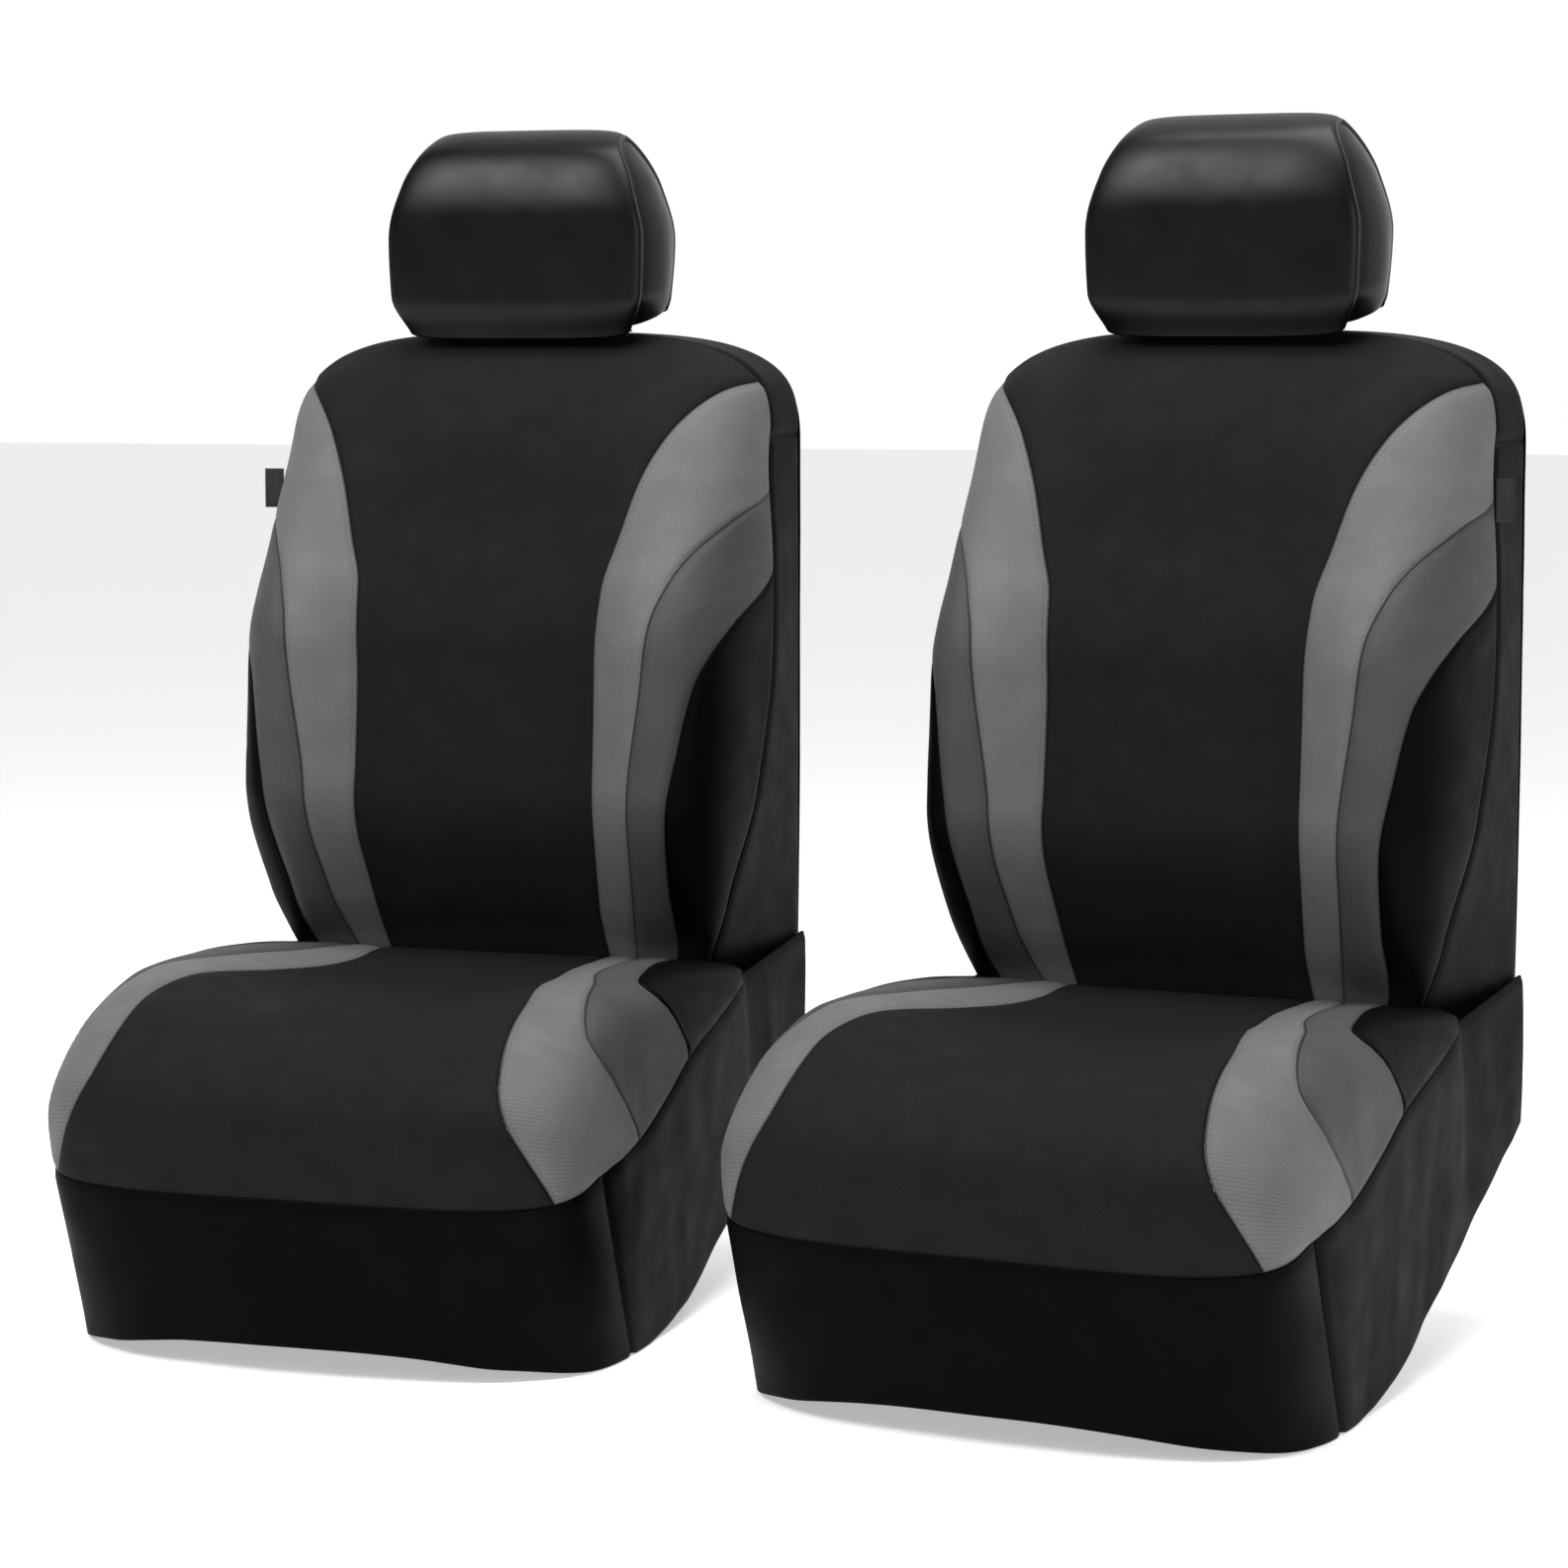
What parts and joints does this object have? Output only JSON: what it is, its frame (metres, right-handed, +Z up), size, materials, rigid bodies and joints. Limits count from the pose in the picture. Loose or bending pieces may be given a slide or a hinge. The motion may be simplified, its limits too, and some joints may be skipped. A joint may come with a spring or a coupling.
{
  "type": "seat cover set",
  "caption": "Fitted cloth covers for bucket seats: back, cushion and headrest covers in black knit with curved grey mesh stripes at the sides.",
  "frame": {"origin": "middle of the pair, at the height of the skirts' lowest hems", "axes": "+X towards the driver's seat on the right as seen from in front, +Y to the rear of the seats, +Z up"},
  "size_m": [1.2637, 0.7188, 1.1249],
  "materials": {
    "black_weave": "matte",
    "black_knit": "matte",
    "satin_knit": "satin",
    "light_mesh": "satin",
    "grey_mesh": "satin",
    "label_cloth": "matte",
    "elastic_strap": "matte",
    "black_plastic": "matte",
    "steel_wire": "satin"
  },
  "bodies": {
    "driver_base": {"driver_base_centre_panel": "black_weave", "driver_base_light_stripe_left": "light_mesh", "driver_base_light_stripe_right": "light_mesh", "driver_base_dark_stripe_left": "grey_mesh", "driver_base_dark_stripe_right": "grey_mesh", "driver_base_corner_insert_left": "black_knit", "driver_base_corner_insert_right": "black_knit", "driver_base_skirt_front": "black_knit", "driver_base_skirt_left": "black_knit", "driver_base_skirt_right": "black_knit", "driver_base_tuck_flap": "black_knit", "driver_base_under_straps": "elastic_strap", "driver_base_strap_hooks": "steel_wire"},
    "driver_back": {"driver_back_centre_panel": "black_weave", "driver_back_light_stripe_left": "light_mesh", "driver_back_light_stripe_right": "light_mesh", "driver_back_dark_stripe_left": "grey_mesh", "driver_back_dark_stripe_right": "grey_mesh", "driver_back_bolster_left": "black_knit", "driver_back_bolster_right": "black_knit", "driver_back_side_left": "black_knit", "driver_back_side_right": "black_knit", "driver_back_top_band": "black_knit", "driver_back_rear_panel": "black_knit", "driver_back_post_eyelets": "black_plastic", "driver_back_side_label": "label_cloth"},
    "driver_headrest": {"driver_headrest_front_panel": "satin_knit", "driver_headrest_back_panel": "satin_knit", "driver_headrest_side_left": "satin_knit", "driver_headrest_side_right": "satin_knit"},
    "passenger_base": {"passenger_base_centre_panel": "black_weave", "passenger_base_light_stripe_left": "light_mesh", "passenger_base_light_stripe_right": "light_mesh", "passenger_base_dark_stripe_left": "grey_mesh", "passenger_base_dark_stripe_right": "grey_mesh", "passenger_base_corner_insert_left": "black_knit", "passenger_base_corner_insert_right": "black_knit", "passenger_base_skirt_front": "black_knit", "passenger_base_skirt_left": "black_knit", "passenger_base_skirt_right": "black_knit", "passenger_base_tuck_flap": "black_knit", "passenger_base_under_straps": "elastic_strap", "passenger_base_strap_hooks": "steel_wire"},
    "passenger_back": {"passenger_back_centre_panel": "black_weave", "passenger_back_light_stripe_left": "light_mesh", "passenger_back_light_stripe_right": "light_mesh", "passenger_back_dark_stripe_left": "grey_mesh", "passenger_back_dark_stripe_right": "grey_mesh", "passenger_back_bolster_left": "black_knit", "passenger_back_bolster_right": "black_knit", "passenger_back_side_left": "black_knit", "passenger_back_side_right": "black_knit", "passenger_back_top_band": "black_knit", "passenger_back_rear_panel": "black_knit", "passenger_back_post_eyelets": "black_plastic", "passenger_back_side_label": "label_cloth"},
    "passenger_headrest": {"passenger_headrest_front_panel": "satin_knit", "passenger_headrest_back_panel": "satin_knit", "passenger_headrest_side_left": "satin_knit", "passenger_headrest_side_right": "satin_knit"}
  },
  "joints": [
    {"name": "driver_recline", "type": "hinge", "parent": "driver_base", "child": "driver_back", "pos_m": [0.36159, 0.20358, 0.295], "axis": [-0.9976, 0.0698, 0], "range_deg": [0, 30]},
    {"name": "driver_headrest_lift", "type": "slide", "parent": "driver_back", "child": "driver_headrest", "axis": [0, 0, 1], "range_m": [0, 0.06]},
    {"name": "passenger_recline", "type": "hinge", "parent": "passenger_base", "child": "passenger_back", "pos_m": [-0.36159, 0.20358, 0.295], "axis": [-0.9976, -0.0698, 0], "range_deg": [0, 30]},
    {"name": "passenger_headrest_lift", "type": "slide", "parent": "passenger_back", "child": "passenger_headrest", "axis": [0, 0, 1], "range_m": [0, 0.06]},
    {"name": "passenger_seat_slide", "type": "slide", "parent": "driver_base", "child": "passenger_base", "axis": [-0.0698, 0.9976, 0], "range_m": [-0.1, 0.1]}
  ]
}
